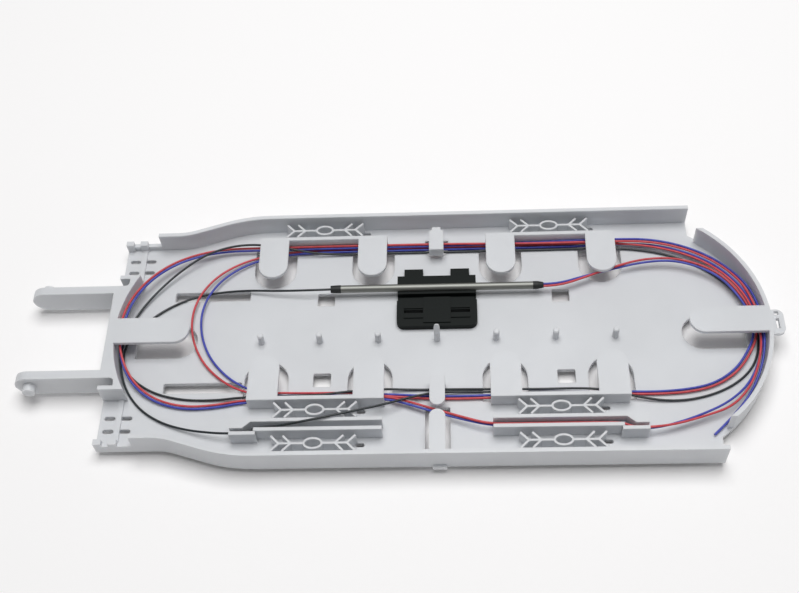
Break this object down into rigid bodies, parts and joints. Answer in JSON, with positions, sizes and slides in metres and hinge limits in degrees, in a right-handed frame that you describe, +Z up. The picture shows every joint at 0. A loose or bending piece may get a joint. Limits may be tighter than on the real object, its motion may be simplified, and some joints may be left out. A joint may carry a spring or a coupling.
{
  "type": "fibre optic splitter tray",
  "caption": "Shallow moulded fibre tray on two hinge arms, with a steel-tubed fibre splitter in a snap-in holder and its jacketed fibres wound round the tray.",
  "frame": {"origin": "on the tray's flat underside, on the tray's long middle line, level with the middle peg of the row", "axes": "+X along the tray away from the hinge arms, +Y towards the wall behind the splitter, +Z up out of the open tray"},
  "size_m": [0.2939, 0.11, 0.0114],
  "materials": {
    "tray_plastic": "satin moulded light grey",
    "holder_plastic": "satin moulded black",
    "steel": "drawn, bright",
    "boot_rubber": "matt black",
    "quartz": "clear",
    "bare_fibre": "clear, coated",
    "epoxy": "clear amber",
    "silicone": "milky",
    "black_jacket": "semi-gloss",
    "red_jacket": "semi-gloss",
    "blue_jacket": "semi-gloss"
  },
  "bodies": {
    "root": {"tray": "tray_plastic", "splitter_holder": "holder_plastic", "splitter_tube": "steel", "input_boot": "boot_rubber", "output_boot": "boot_rubber", "quartz_substrate": "quartz", "fused_fibres": "bare_fibre", "input_epoxy": "epoxy", "output_epoxy": "epoxy", "input_seal": "silicone", "output_seal": "silicone", "black_input_fibre": "black_jacket", "red_output_fibre": "red_jacket", "blue_output_fibre": "blue_jacket"}
  },
  "joints": []
}
